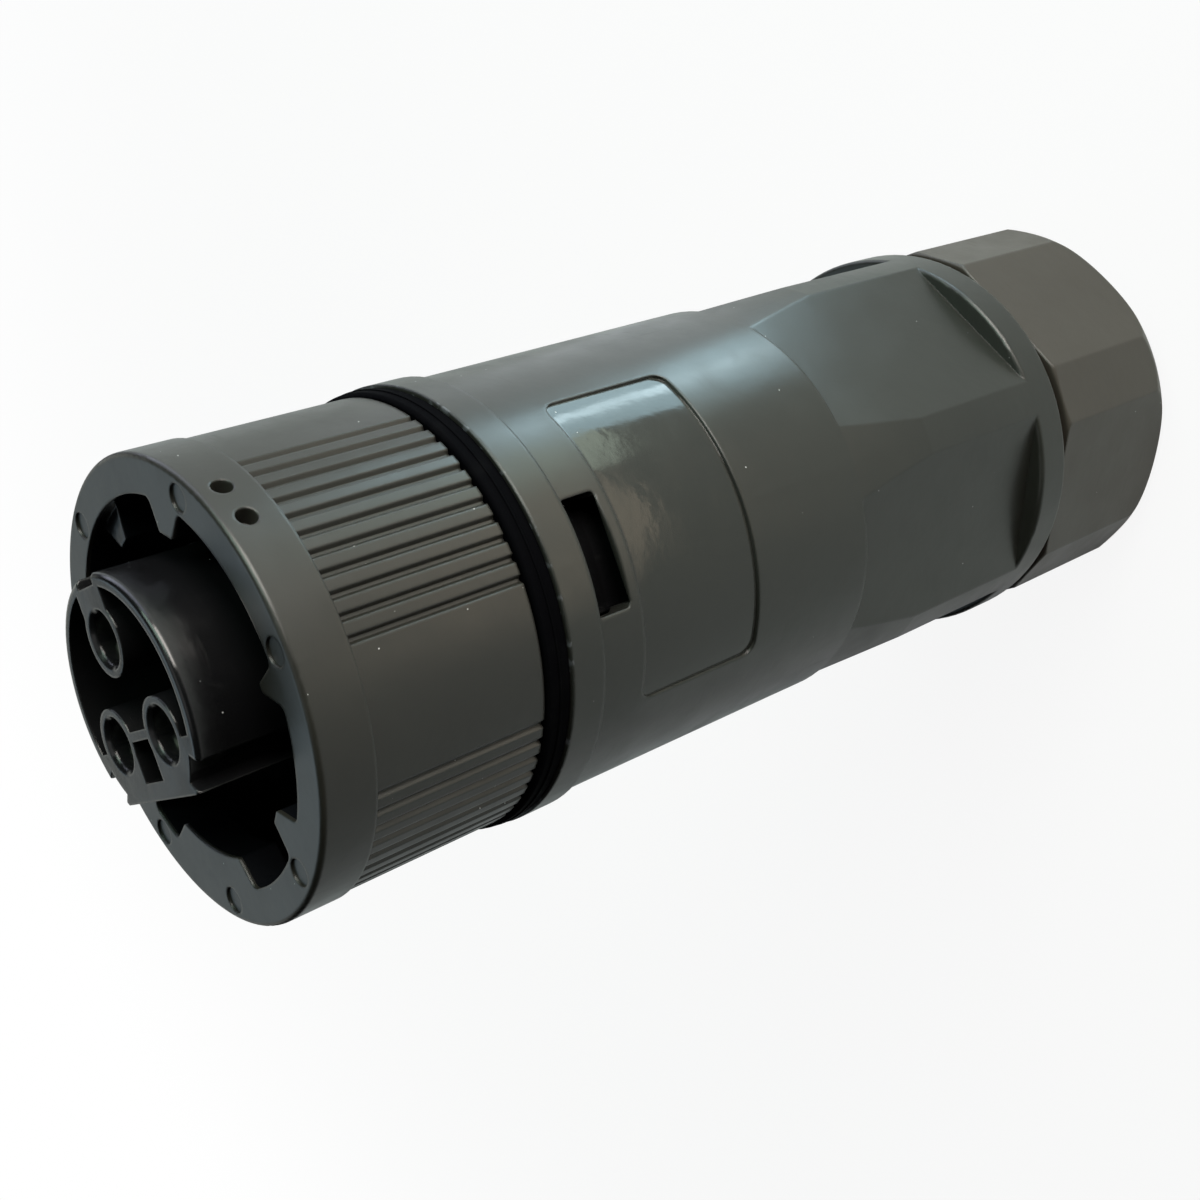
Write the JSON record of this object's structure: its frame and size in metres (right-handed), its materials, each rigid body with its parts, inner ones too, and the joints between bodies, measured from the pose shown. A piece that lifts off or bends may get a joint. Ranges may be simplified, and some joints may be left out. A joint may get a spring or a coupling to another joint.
{
  "type": "ac cable connector",
  "caption": "Round in-line cable connector half with a bayonet lock ring, recessed socket contacts, a long housing with wrench flats and a six-sided cable gland nut.",
  "frame": {"origin": "centre of the gland nut's rear face, on which the connector stands", "axes": "+Z along the axis towards the mating end, +Y towards the insert's key"},
  "size_m": [0.0358, 0.0358, 0.1025],
  "materials": {
    "housing_plastic": "fine satin moulding",
    "ring_plastic": "fine satin moulding",
    "nut_plastic": "fine satin moulding",
    "claw_plastic": "satin moulding",
    "insert_plastic": "glossy moulding",
    "gasket_rubber": "smooth black rubber",
    "sleeve_rubber": "matte black rubber",
    "contact_metal": "turned and plated",
    "spring_steel": "rolled spring steel",
    "screw_steel": "zinc plated"
  },
  "bodies": {
    "connector_body": {"housing": "housing_plastic", "body_gasket": "gasket_rubber", "contact_insert": "insert_plastic", "mating_seal": "gasket_rubber", "gland_claw": "claw_plastic", "cable_grommet": "sleeve_rubber", "earth_contact": "contact_metal", "earth_contact_spring": "spring_steel", "earth_terminal_screw": "screw_steel", "line_contact": "contact_metal", "line_contact_spring": "spring_steel", "line_terminal_screw": "screw_steel", "neutral_contact": "contact_metal", "neutral_contact_spring": "spring_steel", "neutral_terminal_screw": "screw_steel"},
    "lock_ring": {"lock_ring": "ring_plastic"},
    "gland_nut": {"gland_nut": "nut_plastic"}
  },
  "joints": [
    {"name": "lock_turn", "type": "hinge", "parent": "connector_body", "child": "lock_ring", "pos_m": [0, 0, 0.09], "axis": [0, 0, 1], "range_deg": [0, 40]},
    {"name": "nut_turn", "type": "hinge", "parent": "connector_body", "child": "gland_nut", "pos_m": [0, 0, 0.01], "axis": [0, 0, 1], "continuous": true}
  ]
}
